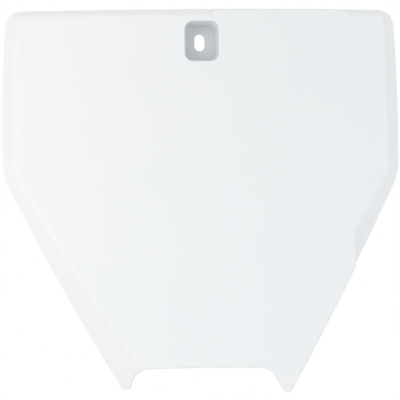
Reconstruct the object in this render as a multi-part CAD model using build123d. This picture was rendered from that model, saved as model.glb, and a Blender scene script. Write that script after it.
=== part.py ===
"""Racing number board for the front of a motocross motorbike.

One injection moulding in white polypropylene. A crowned face runs into a
flange that is folded back along the top and both sides. The flange stays
unfolded at the top right and along the lower right side, where a hose passes
behind the board. A recessed pocket at the top takes the bolt, and two claws
at the bottom sit astride the mudguard.

Millimetres, +Z up, +X to the right seen from the front, the front towards -Y.
The origin is the centre of the bolt slot on the flat rear of the pocket.
"""

import os
from math import cos, radians, sin, sqrt, tan

from build123d import *

# Moulding
wall = 2.8                   # skin of the whole board
front_edge_round = 1.2       # on the front of the trimmed edge; its back, at the mould's parting, is square

# Crowned face
crown_radius = 1000.0        # from side to side

# Front outline
board_width = 250.0          # across the widest point of the two side flanges
top_rise = 20.0              # middle of the top edge, above the slot
shoulder_drop = 0.7          # top corners, below the middle of the top edge
shoulder_inset = 3.2         # top corners, in from the widest point
shoulder_radius = 10.0
widest_drop = 71.2           # widest point, below the slot
knee_drop = 84.2             # corner where the sides turn in, below the slot
knee_inset = 0.25            # that corner, in from the widest point
knee_radius = 30.0
left_edge_bow = 1.8          # bulge of the lower left edge from straight
right_edge_bow = 1.6         # bulge of the lower right edge from straight
claw_drop = 224.1            # points of the claws before rounding, below the slot
left_claw_x = 47.8           # point of the left claw, left of the slot
right_claw_x = 52.0          # point of the right claw, right of the slot
claw_tip_radius = 3.5
arch_rise = 19.4             # crest of the arch between the claws, above their points
arch_sag = 0.7               # ends of the arch, below its crest
arch_left_x = 43.1           # ends of the arch before rounding, from the slot
arch_right_x = 40.7
arch_radius = 10.5

# Folded flange, its planes drawn at the depth of the face's crest
fold_angle = 38.0            # flange against the front view
fold_bend = 4.0              # outer radius of the bend
top_fold_inset = 3.7         # below the top edge
shoulder_fold_inset = 14.8   # in from the side edge, at the top corners
shoulder_fold_drop = 10.4    # below the top corners
knee_fold_inset = 16.2       # in from the side edge, where the sides turn in
knee_fold_rise = 4.3         # above the corner of the outline there
lower_fold_meet = 36.2       # where the lower folds would meet, below the points of the claws
lower_fold_bow = 5.0         # bulge of the lower folds from straight
fold_corner_radius = 10.0    # outside, along the mitre of the top and side flanges
fold_knee_radius = 20.0      # between the side and lower folds

# Lengths of edge left unfolded for the hose
top_gap_start = 5.6          # along the fold line, right of the slot
top_gap_end = 93.6
top_gap_lean = 50.0          # its ends, from upright
lower_gap_x = 95.9           # the lower right flange stops here

# Bolt pocket
slot_width = 6.6             # clears an M6 bolt
slot_length = 10.6
pocket_width = 17.8          # at its floor
pocket_height = 21.6
pocket_depth = 21.0
pocket_corner = 3.5
pocket_draft = 4.8
pocket_floor = 3.5
pocket_rim_round = 0.8
pocket_edge_round = 1.0      # round its floor, inside and out

# Ribs between the pocket and the back of the face
rib_thickness = 1.8
rib_reach = 34.0             # from the slot's centre along the face
rib_setback = 1.0            # behind the bracket face of the pocket

# Hose clip on the back of the face
hose_radius = 4.75
clip_wall = 2.2
clip_mouth = 6.5
clip_length = 12.0
clip_x = 74.0
clip_drop = 62.0             # its middle, below the slot

# Derived positions
half_width = board_width / 2
shoulder_x = half_width - shoulder_inset
shoulder_z = top_rise - shoulder_drop
knee_x = half_width - knee_inset
arch_drop = claw_drop - arch_rise
face_front = -pocket_floor - pocket_depth
fold_z = top_rise - top_fold_inset
fold_shoulder_x = shoulder_x - shoulder_fold_inset
fold_shoulder_z = shoulder_z - shoulder_fold_drop
fold_knee_x = half_width - knee_fold_inset
fold_knee_z = knee_fold_rise - knee_drop
fold_meet_z = -claw_drop - lower_fold_meet
reach = 0.65 * board_width
rear_limit = 40.0

FRONT = Plane.XZ
BACKWARD = Vector(0, 1, 0)
UPWARD = Vector(0, 0, 1)


def on_face(x, z):
    """Point of the crowned face at a place in the front view."""
    return Vector(x, face_front + crown_radius - sqrt(crown_radius**2 - x**2), z)


def prism(sketch, front, rear):
    """Extrude a front-view sketch along Y between two depths."""
    return extrude(FRONT * Pos(0, 0, -rear) * sketch, rear - front)


def crowned_block(inset):
    """All that lies behind the crowned face, with the face moved back by inset."""
    radius = crown_radius - inset
    crest_y = face_front + inset
    end_y = crest_y + radius - sqrt(radius**2 - reach**2)
    arc = ThreePointArc((-reach, end_y), (0, crest_y), (reach, end_y))
    rear = Polyline((reach, end_y), (reach, rear_limit), (-reach, rear_limit), (-reach, end_y))
    plan = Pos(0, 0, -claw_drop - 4 * wall) * make_face([arc, rear])
    return extrude(plan, claw_drop + reach, dir=UPWARD)


def fold_lines():
    """Front view of the folds at the depth of the face's crest, run on to a point below the board."""
    top = ThreePointArc((-fold_shoulder_x, fold_shoulder_z), (0, fold_z), (fold_shoulder_x, fold_shoulder_z))
    side = Line((fold_shoulder_x, fold_shoulder_z), (fold_knee_x, fold_knee_z))
    lower = SagittaArc((fold_knee_x, fold_knee_z), (0, fold_meet_z), lower_fold_bow)
    left = [mirror(curve, about=Plane.YZ) for curve in (side, lower)]
    shape = Sketch() + make_face([top, side, lower] + left)
    knees = shape.vertices().filter_by(lambda corner: abs(corner.Y - fold_knee_z) < 1e-4)
    return fillet(knees, fold_knee_radius)


def folded_form(inset):
    """Block behind the face, folded back all round, with its skin moved in by inset."""
    spread = tan(radians(90 - fold_angle))
    depth = rear_limit - face_front
    base = offset(fold_lines(), depth * spread - inset / sin(radians(fold_angle)), kind=Kind.INTERSECTION)
    flanges = extrude(base, depth + fold_bend, taper=90 - fold_angle)
    mitres = flanges.edges().filter_by(lambda edge: abs((edge % 0.5).Z) > 0.1 and (edge @ 0.5).Y > 0)
    flanges = fillet(mitres, fold_corner_radius - inset)
    block = crowned_block(inset) & (FRONT * Pos(0, 0, -rear_limit) * flanges)
    face = block.faces().sort_by(Axis.Y)[0]
    return fillet(face.edges().sort_by(Axis.Z)[1:], fold_bend - inset)


def unfolded_zones():
    """Parts of the front view where the face runs on unfolded to the edge."""
    below = fold_z - 1.5 * fold_bend
    above = top_rise + 2 * wall
    spread = tan(radians(top_gap_lean))
    top = Polygon(
        (top_gap_start + (below - fold_z) * spread, below),
        (top_gap_end - (below - fold_z) * spread, below),
        (top_gap_end - (above - fold_z) * spread, above),
        (top_gap_start + (above - fold_z) * spread, above),
        align=None,
    )
    lower = Polygon(
        (0, -claw_drop - 2 * wall),
        (lower_gap_x, -claw_drop - 2 * wall),
        (lower_gap_x, fold_knee_z),
        (0, fold_knee_z),
        align=None,
    )
    return [top, lower]


def with_gaps(folded, unfolded, inset):
    """Folded form with the unfolded one in its place along the gaps, whose ends move in by inset."""
    form = folded
    for zone in unfolded_zones():
        area = offset(zone, -inset, kind=Kind.INTERSECTION) if inset else zone
        space = prism(area, face_front - wall, 2 * rear_limit)
        form = (form - space) + (unfolded & space)
    return form


def outline():
    """Front view of the whole board."""
    top = ThreePointArc((-shoulder_x, shoulder_z), (0, top_rise), (shoulder_x, shoulder_z))
    right = ThreePointArc((shoulder_x, shoulder_z), (half_width, -widest_drop), (knee_x, -knee_drop))
    lower_right = SagittaArc((knee_x, -knee_drop), (right_claw_x, -claw_drop), right_edge_bow)
    arch_z = -arch_drop - arch_sag
    claw_right = Line((right_claw_x, -claw_drop), (arch_right_x, arch_z))
    arch = ThreePointArc((arch_right_x, arch_z), (0, -arch_drop), (-arch_left_x, arch_z))
    claw_left = Line((-arch_left_x, arch_z), (-left_claw_x, -claw_drop))
    lower_left = SagittaArc((-left_claw_x, -claw_drop), (-knee_x, -knee_drop), left_edge_bow)
    left = ThreePointArc((-knee_x, -knee_drop), (-half_width, -widest_drop), (-shoulder_x, shoulder_z))
    shape = Sketch() + make_face([top, right, lower_right, claw_right, arch, claw_left, lower_left, left])
    for height, radius in (
        (shoulder_z, shoulder_radius),
        (-knee_drop, knee_radius),
        (-claw_drop, claw_tip_radius),
        (arch_z, arch_radius),
    ):
        corners = shape.vertices().filter_by(lambda corner: abs(corner.Y - height) < 1e-4)
        shape = fillet(corners, radius)
    return shape


def trimmed(form, shape):
    """Form cut to an outline, with the front of the cut edge rounded."""
    block = form & prism(shape, face_front - wall, rear_limit - wall)
    rim = (FRONT * shape).face().outer_wire()

    def at_front(edge):
        middle = edge @ 0.5
        on_rim = rim.distance_to(Vertex(middle.X, 0, middle.Z)) < 0.01
        return on_rim and abs((edge % 0.5).Y) < 0.95 and middle.Y < rear_limit - 2 * wall

    return fillet(block.edges().filter_by(at_front), front_edge_round)


def pocket_space(floor_y, grow):
    """Drafted space of the pocket from its floor out through the face, grown on all sides."""
    floor = RectangleRounded(pocket_width + 2 * grow, pocket_height + 2 * grow, pocket_corner + grow)
    length = floor_y - face_front + 2 * wall
    return extrude(FRONT * Pos(0, 0, -floor_y) * floor, length, taper=-pocket_draft)


def pocket_ribs():
    """Thin ribs that tie the pocket to the back of the face."""
    triangle = make_face(Polyline((0, -rib_setback), (0, face_front), (rib_reach, face_front), close=True))
    ribs = []
    for turn in (0, 180, 270):
        outward = Vector(cos(radians(turn)), 0, sin(radians(turn)))
        side = Plane((0, 0, 0), outward, outward.cross(BACKWARD))
        ribs.append(extrude(side * triangle, rib_thickness / 2, both=True))
    return ribs


def hose_clip():
    """Open ring on the back of the face that holds the hose upright."""
    root_y = on_face(clip_x, 0).Y + wall / 2
    centre_y = root_y + wall / 2 + clip_wall + hose_radius
    ring = Circle(hose_radius + clip_wall) - Circle(hose_radius)
    mouth = Pos(0, hose_radius) * Rectangle(clip_mouth, 2 * hose_radius)
    foot_length = centre_y - hose_radius - root_y
    foot = Pos(0, -hose_radius - foot_length / 2) * Rectangle(2 * clip_wall, foot_length)
    plan = ring - mouth + foot
    return extrude(Pos(clip_x, centre_y, -clip_drop - clip_length / 2) * plan, clip_length)


shape = outline()
outer = with_gaps(trimmed(folded_form(0), shape), trimmed(crowned_block(0), shape), 0)
board = outer - with_gaps(folded_form(wall), crowned_block(wall), wall)
behind = crowned_block(wall / 2)
board = board + (pocket_space(0, wall) & behind) + [rib & behind for rib in pocket_ribs()] + hose_clip()
board = board - pocket_space(-pocket_floor, 0)
slot = SlotOverall(slot_length, slot_width, rotation=90)
board = board - prism(slot, face_front, wall)
skins = board.faces().filter_by(GeomType.CYLINDER).sort_by(SortBy.AREA)[-2:]
board = fillet(skins.sort_by(Axis.Y)[0].inner_wires()[0].edges(), pocket_rim_round)
pads = board.faces().filter_by(Axis.Y).sort_by(Axis.Y)
board = fillet(pads[-1].outer_wire().edges() + pads[-2].outer_wire().edges(), pocket_edge_round)

os.makedirs("parts", exist_ok=True)
export_step(board, "parts/number_plate.step")
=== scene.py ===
"""Racing number board: its moulded finish, studio and camera, laid out as an add-on."""

from math import cos, radians, sin
from typing import NamedTuple

import bpy
from bpy.props import FloatProperty, FloatVectorProperty, PointerProperty
from bpy.types import Operator, Panel, PropertyGroup
from mathutils import Matrix, Vector


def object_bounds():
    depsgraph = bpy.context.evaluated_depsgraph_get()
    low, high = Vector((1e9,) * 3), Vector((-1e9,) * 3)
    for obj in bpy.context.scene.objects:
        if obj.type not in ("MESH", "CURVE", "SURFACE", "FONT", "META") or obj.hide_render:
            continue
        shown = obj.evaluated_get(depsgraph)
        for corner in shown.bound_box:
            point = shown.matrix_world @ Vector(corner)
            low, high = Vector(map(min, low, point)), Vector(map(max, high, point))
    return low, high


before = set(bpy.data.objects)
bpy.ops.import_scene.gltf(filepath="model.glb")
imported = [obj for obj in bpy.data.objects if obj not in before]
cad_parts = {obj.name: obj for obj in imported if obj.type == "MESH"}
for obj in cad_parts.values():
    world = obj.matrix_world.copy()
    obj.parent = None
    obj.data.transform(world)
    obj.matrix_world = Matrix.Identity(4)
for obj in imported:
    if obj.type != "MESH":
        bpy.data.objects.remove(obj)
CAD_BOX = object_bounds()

bl_info = {
    "name": "Racing Number Board",
    "version": (1, 0, 0),
    "blender": (4, 5, 0),
    "location": "View3D > Sidebar > Number Board",
    "description": "Gives the moulded number board its finish and sets up its studio",
    "category": "Material",
}

BOARD = "number_plate"

# The front's finish gives way to the back's between these values of the normal's Y
FRONT_ENDS = 0.1
BACK_STARTS = 0.4

# Cloud values between which the plastic takes on the colour of a flow mark
FLOW_RANGE = (0.35, 0.75)
FLOW_DETAIL = 1.5

# Uneven sheen: width of its clouds, and how far it moves the roughness up and down
SHEEN_SIZE = 0.009
SHEEN_DETAIL = 3.0
SHEEN_RANGE = (0.2, 0.8)
SHEEN_SWING = 0.04

# Relief of the surface: heights in millimetres, their unit in metres, and the detail of its clouds
PEEL_HEIGHT = 0.006
GRAIN_HEIGHT = 0.030
PIN_HEIGHT = -0.15
RELIEF_UNIT = 0.001
RELIEF_DETAIL = 2.0

PLASTIC_IOR = 1.49

# Pin marks: soft edge of a mark and of their field, and the depth behind the face where they end
PIN_EDGE = 0.0005
FIELD_EDGE = 0.001
SKIN_DEPTH = 0.0095

# Floor: its clouds, how dark they get, and the shares of the radius between which it fades to white
FLOOR_SIDES = 96
FLOOR_CLOUD = 0.05
FLOOR_DETAIL = 3.0
FLOOR_SHADE = 0.985
FLOOR_ROUGHNESS = 0.9
FLOOR_FADE = (0.3, 0.98)

# World: its colour, and the directions' Y between which it brightens beside the board and dims behind it
WORLD_COLOR = (1.0, 0.98, 0.985)
SIDE_RISE = (-0.1, 0.3)
REAR_FALL = (0.3, 0.8)

# Strength at which the background is plain white
WHITE_STRENGTH = 1.0

# Camera: sensor in millimetres and furthest thing seen in metres
SENSOR_WIDTH = 36
VIEW_LIMIT = 20


class LampPlace(NamedTuple):
    """Where a lamp hangs, in degrees and metres, with its size and colour."""

    azimuth: float
    elevation: float
    distance: float
    size: float
    color: tuple


LAMPS = {
    "key": LampPlace(azimuth=-47, elevation=-3, distance=0.75, size=0.45, color=(1.0, 0.94, 0.94)),
    "fill": LampPlace(azimuth=50, elevation=0, distance=1.5, size=0.7, color=(0.92, 0.98, 1.0)),
    "front": LampPlace(azimuth=-20, elevation=20, distance=1.5, size=0.5, color=(1.0, 0.97, 0.97)),
    "rear": LampPlace(azimuth=145, elevation=35, distance=1.5, size=0.6, color=(1.0, 0.98, 0.98)),
}


class BoardFinish(PropertyGroup):
    """Colours and surface of the moulded plastic."""

    plastic: FloatVectorProperty(
        name="Plastic", description="Colour of the white plastic", subtype="COLOR", size=3,
        default=(0.838, 0.869, 0.879), min=0, max=1)
    flow: FloatVectorProperty(
        name="Flow marks", description="Colour where the melt cooled last", subtype="COLOR", size=3,
        default=(0.831, 0.863, 0.874), min=0, max=1)
    pin_mark: FloatVectorProperty(
        name="Pin marks", description="Colour of the marks of the ejector pins", subtype="COLOR", size=3,
        default=(0.805, 0.836, 0.846), min=0, max=1)
    flow_size: FloatProperty(
        name="Flow size", description="Width of a flow mark", subtype="DISTANCE", default=0.055)
    face_roughness: FloatProperty(
        name="Face roughness", description="Roughness of the satin front", subtype="FACTOR",
        default=0.40, min=0, max=1)
    back_roughness: FloatProperty(
        name="Back roughness", description="Roughness of the grained back", subtype="FACTOR",
        default=0.58, min=0, max=1)
    peel_size: FloatProperty(
        name="Ripple size", description="Width of the ripples in the front", subtype="DISTANCE",
        default=0.0022)
    grain_size: FloatProperty(
        name="Grain size", description="Width of the grain on the back", subtype="DISTANCE", default=0.0007)
    pin_spacing: FloatProperty(
        name="Pin spacing", description="Between the ejector pins that marked the back", subtype="DISTANCE",
        default=0.058)
    pin_radius: FloatProperty(
        name="Pin radius", description="Of the mark of an ejector pin", subtype="DISTANCE", default=0.004)
    pin_reach: FloatProperty(
        name="Pin reach", description="Furthest mark to either side", subtype="DISTANCE", default=0.080)
    pin_lowest: FloatProperty(
        name="Lowest pin", description="Height below which there are no marks", subtype="DISTANCE",
        default=-0.140)


class BoardStudio(PropertyGroup):
    """Floor, light and camera."""

    floor: FloatVectorProperty(
        name="Floor", description="Colour of the floor", subtype="COLOR", size=3,
        default=(0.88, 0.90, 0.90), min=0, max=1)
    floor_gap: FloatProperty(
        name="Floor gap", description="From the claws down to the floor", subtype="DISTANCE", default=0.09)
    floor_radius: FloatProperty(
        name="Floor radius", description="Of the round floor", subtype="DISTANCE", default=0.5)
    ambient: FloatProperty(
        name="Ambient", description="Strength of the soft light from the front", default=0.705, min=0)
    surround: FloatProperty(
        name="Surround", description="Strength of the light from beside and just behind the board",
        default=1.0, min=0)
    behind: FloatProperty(
        name="Behind", description="Strength of the light from straight behind", default=0.55, min=0)
    key: FloatProperty(
        name="Key", description="Power of the near lamp on the left", subtype="POWER", default=1.27)
    fill: FloatProperty(
        name="Fill", description="Power of the lamp on the right", subtype="POWER", default=3.0)
    front: FloatProperty(
        name="Front", description="Power of the lamp in front", subtype="POWER", default=1.65)
    rear: FloatProperty(
        name="Rear", description="Power of the lamp that shows the back", subtype="POWER", default=4.5)
    target: FloatVectorProperty(
        name="Target", description="Point in the middle of the picture", subtype="TRANSLATION", size=3,
        default=(-0.0017, -0.0165, -0.0996))
    azimuth: FloatProperty(
        name="Azimuth", description="Of the camera, to the right of the front", subtype="ANGLE",
        default=radians(-4.0))
    elevation: FloatProperty(
        name="Elevation", description="Of the camera, above the level", subtype="ANGLE",
        default=radians(-0.2))
    roll: FloatProperty(
        name="Roll", description="Turn of the picture", subtype="ANGLE", default=radians(0.62))
    distance: FloatProperty(
        name="Distance", description="Camera to the target", subtype="DISTANCE", default=1.6)
    lens: FloatProperty(
        name="Lens", description="Focal length", subtype="DISTANCE_CAMERA", default=229.2)


def opaque(color):
    """A colour with its full alpha."""
    return (*color, 1)


def feed(tree, socket, value):
    """Give an input its value: another socket's, by a link, or a plain number or colour."""
    if isinstance(value, bpy.types.NodeSocket):
        tree.links.new(value, socket)
    else:
        socket.default_value = value


def new_group(name, inputs, outputs):
    """Empty shader node group with named sockets, and its input and output nodes."""
    group = bpy.data.node_groups.new(name, "ShaderNodeTree")
    for label, kind, default in inputs:
        group.interface.new_socket(label, in_out="INPUT", socket_type=kind).default_value = default
    for label, kind in outputs:
        group.interface.new_socket(label, in_out="OUTPUT", socket_type=kind)
    return group, group.nodes.new("NodeGroupInput"), group.nodes.new("NodeGroupOutput")


def math_node(tree, operation, *values):
    """Math node of a tree; each value is a number or a socket. Gives its output socket."""
    node = tree.nodes.new("ShaderNodeMath")
    node.operation = operation
    for socket, value in zip(node.inputs, values):
        feed(tree, socket, value)
    return node.outputs[0]


def combine(tree, operation, first, *others):
    """Math nodes in a row that take in one value after another. Gives the last output socket."""
    for other in others:
        first = math_node(tree, operation, first, other)
    return first


def range_node(tree, value, low, high, to_low, to_high):
    """Smooth step of a value from one range to another. Gives its output socket."""
    node = tree.nodes.new("ShaderNodeMapRange")
    node.interpolation_type = "SMOOTHSTEP"
    tree.links.new(value, node.inputs["Value"])
    node.inputs["From Min"].default_value = low
    node.inputs["From Max"].default_value = high
    node.inputs["To Min"].default_value = to_low
    node.inputs["To Max"].default_value = to_high
    return node.outputs["Result"]


def axes(tree, vector):
    """X, Y and Z of a vector. Gives their output sockets."""
    node = tree.nodes.new("ShaderNodeSeparateXYZ")
    tree.links.new(vector, node.inputs["Vector"])
    return node.outputs


def blend_colors(tree, factor, first, second):
    """Mix of two colours, each fixed or from a socket, by a varying factor. Gives its output socket."""
    node = tree.nodes.new("ShaderNodeMix")
    node.data_type = "RGBA"
    tree.links.new(factor, node.inputs["Factor"])
    feed(tree, node.inputs["A"], first)
    feed(tree, node.inputs["B"], second)
    return node.outputs["Result"]


def mix_shaders(tree, factor, first, second):
    """Mix of two shaders by a factor. Gives its output socket."""
    node = tree.nodes.new("ShaderNodeMixShader")
    for socket, value in zip(node.inputs, (factor, first, second)):
        tree.links.new(value, socket)
    return node.outputs[0]


def seen_rays(tree):
    """One for what the camera sees, directly or in a reflection, and nought for light."""
    ray = tree.nodes.new("ShaderNodeLightPath").outputs
    return combine(tree, "MAXIMUM", ray["Is Camera Ray"], ray["Is Glossy Ray"], ray["Is Transmission Ray"])


def new_material(name):
    """Node material, with its tree and its shader."""
    material = bpy.data.materials.new(name)
    material.use_nodes = True
    return material, material.node_tree, material.node_tree.nodes["Principled BSDF"]


def mottle_group():
    """Cloudy value over the surface, with clouds of a given width."""
    group, given, result = new_group(
        "Mottle",
        [("Size", "NodeSocketFloat", 0.01), ("Detail", "NodeSocketFloat", 2.0)],
        [("Value", "NodeSocketFloat")],
    )
    place = group.nodes.new("ShaderNodeTexCoord")
    noise = group.nodes.new("ShaderNodeTexNoise")
    group.links.new(place.outputs["Object"], noise.inputs["Vector"])
    group.links.new(math_node(group, "DIVIDE", 1.0, given.outputs["Size"]), noise.inputs["Scale"])
    group.links.new(given.outputs["Detail"], noise.inputs["Detail"])
    group.links.new(noise.outputs["Fac"], result.inputs["Value"])
    return group


def mottle(tree, size, detail):
    """The mottle group in a material, with its own values. Gives its output socket."""
    node = tree.nodes.new("ShaderNodeGroup")
    node.node_tree = bpy.data.node_groups.get("Mottle") or mottle_group()
    node.inputs["Size"].default_value = size
    node.inputs["Detail"].default_value = detail
    return node.outputs["Value"]


def pin_marks(tree, finish, position):
    """Round marks of the ejector pins, in rows over the back of the skin. Gives its output socket."""
    x, y, z = axes(tree, position)
    half = finish.pin_spacing / 2
    across = math_node(tree, "WRAP", x, half, -half)
    along = math_node(tree, "WRAP", z, half, -half)
    square = math_node(tree, "ADD", math_node(tree, "MULTIPLY", across, across),
                       math_node(tree, "MULTIPLY", along, along))
    reach = math_node(tree, "SQRT", square)
    disc = range_node(tree, reach, finish.pin_radius, finish.pin_radius + PIN_EDGE, 1.0, 0.0)

    skin_end = CAD_BOX[0].y + SKIN_DEPTH
    on_skin = range_node(tree, y, skin_end, skin_end + PIN_EDGE, 1.0, 0.0)
    beside = math_node(tree, "ABSOLUTE", x)
    inside = range_node(tree, beside, finish.pin_reach, finish.pin_reach + FIELD_EDGE, 1.0, 0.0)
    above = range_node(tree, z, finish.pin_lowest - FIELD_EDGE, finish.pin_lowest, 0.0, 1.0)
    return combine(tree, "MULTIPLY", disc, on_skin, inside, above)


def plastic_material(finish):
    """White satin moulding: faint flow marks, rippled front, grained back with pin marks."""
    material, tree, shader = new_material("white_moulded_plastic")
    place = tree.nodes.new("ShaderNodeNewGeometry").outputs
    back = range_node(tree, axes(tree, place["Normal"])["Y"], FRONT_ENDS, BACK_STARTS, 0.0, 1.0)
    front = math_node(tree, "SUBTRACT", 1.0, back)
    pins = math_node(tree, "MULTIPLY", pin_marks(tree, finish, place["Position"]), back)
    grained = math_node(tree, "SUBTRACT", back, pins)

    flow = range_node(tree, mottle(tree, finish.flow_size, FLOW_DETAIL), *FLOW_RANGE, 0.0, 1.0)
    clouded = blend_colors(tree, flow, opaque(finish.plastic), opaque(finish.flow))
    marked = blend_colors(tree, pins, clouded, opaque(finish.pin_mark))
    tree.links.new(marked, shader.inputs["Base Color"])

    cloud = mottle(tree, SHEEN_SIZE, SHEEN_DETAIL)
    sheen = range_node(tree, cloud, *SHEEN_RANGE, -SHEEN_SWING, SHEEN_SWING)
    step = math_node(tree, "MULTIPLY", grained, finish.back_roughness - finish.face_roughness)
    rough = combine(tree, "ADD", step, finish.face_roughness, sheen)
    tree.links.new(rough, shader.inputs["Roughness"])

    peel = combine(tree, "MULTIPLY", mottle(tree, finish.peel_size, RELIEF_DETAIL), PEEL_HEIGHT, front)
    grain = combine(tree, "MULTIPLY", mottle(tree, finish.grain_size, RELIEF_DETAIL), GRAIN_HEIGHT, grained)
    sunk = math_node(tree, "MULTIPLY", pins, PIN_HEIGHT)
    bump = tree.nodes.new("ShaderNodeBump")
    bump.inputs["Distance"].default_value = RELIEF_UNIT
    tree.links.new(combine(tree, "ADD", peel, grain, sunk), bump.inputs["Height"])
    tree.links.new(bump.outputs["Normal"], shader.inputs["Normal"])
    shader.inputs["IOR"].default_value = PLASTIC_IOR
    return material


def floor_material(studio):
    """Pale matt floor that fades into the white background, and lets the camera look up through it."""
    material, tree, shader = new_material("pale_floor")
    cloud = mottle(tree, FLOOR_CLOUD, FLOOR_DETAIL)
    darker = [FLOOR_SHADE * part for part in studio.floor]
    mottled = blend_colors(tree, cloud, opaque(studio.floor), opaque(darker))
    tree.links.new(mottled, shader.inputs["Base Color"])
    shader.inputs["Roughness"].default_value = FLOOR_ROUGHNESS
    seen = seen_rays(tree)

    place = tree.nodes.new("ShaderNodeTexCoord")
    reach = tree.nodes.new("ShaderNodeVectorMath")
    reach.operation = "LENGTH"
    tree.links.new(place.outputs["Object"], reach.inputs[0])
    fade_from, fade_to = (share * studio.floor_radius for share in FLOOR_FADE)
    far = range_node(tree, reach.outputs["Value"], fade_from, fade_to, 0.0, 1.0)
    white = tree.nodes.new("ShaderNodeEmission")
    white.inputs["Strength"].default_value = WHITE_STRENGTH
    faded = mix_shaders(
        tree, math_node(tree, "MULTIPLY", far, seen), shader.outputs[0], white.outputs[0])

    side = tree.nodes.new("ShaderNodeNewGeometry")
    clear = tree.nodes.new("ShaderNodeBsdfTransparent")
    below = math_node(tree, "MULTIPLY", side.outputs["Backfacing"], seen)
    output = tree.nodes["Material Output"]
    tree.links.new(mix_shaders(tree, below, faded, clear.outputs[0]), output.inputs["Surface"])
    return material


def lay_floor(studio):
    """Round floor below the claws."""
    level = CAD_BOX[0].z - studio.floor_gap
    bpy.ops.mesh.primitive_circle_add(
        vertices=FLOOR_SIDES, radius=studio.floor_radius, fill_type="NGON", location=(0, 0, level))
    floor = bpy.context.object
    floor.name = "floor"
    floor.data.materials.append(floor_material(studio))


def light_world(scene, studio):
    """White to the camera and in reflections, and otherwise soft light, brightest beside the board."""
    world = bpy.data.worlds.new("studio_world")
    world.use_nodes = True
    tree = world.node_tree
    tree.nodes.clear()
    ambient = tree.nodes.new("ShaderNodeBackground")
    ambient.inputs["Color"].default_value = opaque(WORLD_COLOR)
    way = tree.nodes.new("ShaderNodeTexCoord")
    rearward = axes(tree, way.outputs["Generated"])["Y"]
    rise = range_node(tree, rearward, *SIDE_RISE, studio.ambient, studio.surround)
    fall = range_node(tree, rearward, *REAR_FALL, 0.0, studio.surround - studio.behind)
    tree.links.new(math_node(tree, "SUBTRACT", rise, fall), ambient.inputs["Strength"])
    white = tree.nodes.new("ShaderNodeBackground")
    white.inputs["Color"].default_value = (1, 1, 1, 1)
    white.inputs["Strength"].default_value = WHITE_STRENGTH
    choice = mix_shaders(tree, seen_rays(tree), ambient.outputs[0], white.outputs[0])
    output = tree.nodes.new("ShaderNodeOutputWorld")
    tree.links.new(choice, output.inputs["Surface"])
    scene.world = world


def bearing(azimuth, elevation):
    """Direction from the board, in radians round from the front and up from the level."""
    return Vector((sin(azimuth) * cos(elevation), -cos(azimuth) * cos(elevation), sin(elevation)))


def hang_lamp(name, place, target, power):
    """Square soft lamp that faces the board."""
    lamp = bpy.data.lights.new(name, "AREA")
    lamp.size = place.size
    lamp.energy = power
    lamp.color = place.color
    stand = bpy.data.objects.new(name, lamp)
    away = bearing(radians(place.azimuth), radians(place.elevation))
    stand.location = Vector(target) + away * place.distance
    stand.rotation_euler = away.to_track_quat("Z", "Y").to_euler()
    bpy.context.scene.collection.objects.link(stand)


def place_camera(scene, studio):
    """Long lens in front of the board, a little to the left and below."""
    data = bpy.data.cameras.new("camera")
    data.lens = studio.lens
    data.sensor_width = SENSOR_WIDTH
    data.clip_end = VIEW_LIMIT
    camera = bpy.data.objects.new("camera", data)
    away = bearing(studio.azimuth, studio.elevation)
    aim = away.to_track_quat("Z", "Y").to_matrix().to_4x4()
    place = Matrix.Translation(Vector(studio.target) + away * studio.distance)
    camera.matrix_world = place @ aim @ Matrix.Rotation(-studio.roll, 4, "Z")
    scene.collection.objects.link(camera)
    scene.camera = camera


class NUMBERBOARD_OT_finish(Operator):
    """Dress the moulded board in white satin plastic"""

    bl_idname = "numberboard.finish"
    bl_label = "Finish the board"

    def execute(self, context):
        board = bpy.data.objects.get(BOARD)
        if board is None:
            raise RuntimeError("the number board isn't in the frame")
        board.data.materials.clear()
        board.data.materials.append(plastic_material(context.scene.board_finish))
        return {"FINISHED"}


class NUMBERBOARD_OT_studio(Operator):
    """Set up the floor, the soft light and the camera"""

    bl_idname = "numberboard.studio"
    bl_label = "Set up the studio"

    def execute(self, context):
        studio = context.scene.board_studio
        lay_floor(studio)
        light_world(context.scene, studio)
        for name, place in LAMPS.items():
            hang_lamp(f"{name}_lamp", place, studio.target, getattr(studio, name))
        place_camera(context.scene, studio)
        context.scene.view_settings.view_transform = "Standard"
        return {"FINISHED"}


class NUMBERBOARD_PT_panel(Panel):
    """Finish and studio of the number board"""

    bl_idname = "NUMBERBOARD_PT_panel"
    bl_label = "Number Board"
    bl_space_type = "VIEW_3D"
    bl_region_type = "UI"
    bl_category = "Number Board"

    def draw(self, context):
        for settings, operator in (
            (context.scene.board_finish, NUMBERBOARD_OT_finish),
            (context.scene.board_studio, NUMBERBOARD_OT_studio),
        ):
            box = self.layout.box()
            for name in settings.__annotations__:
                box.prop(settings, name)
            box.operator(operator.bl_idname)


CLASSES = (BoardFinish, BoardStudio, NUMBERBOARD_OT_finish, NUMBERBOARD_OT_studio, NUMBERBOARD_PT_panel)


def register():
    """Make the classes known, and give the scene their settings."""
    for item in CLASSES:
        bpy.utils.register_class(item)
    bpy.types.Scene.board_finish = PointerProperty(type=BoardFinish)
    bpy.types.Scene.board_studio = PointerProperty(type=BoardStudio)


def unregister():
    """Take the settings and the classes away again."""
    del bpy.types.Scene.board_studio
    del bpy.types.Scene.board_finish
    for item in reversed(CLASSES):
        bpy.utils.unregister_class(item)


def main():
    """Dress the board and set up the studio."""
    register()
    bpy.ops.numberboard.finish()
    bpy.ops.numberboard.studio()


if __name__ == "__main__":
    main()
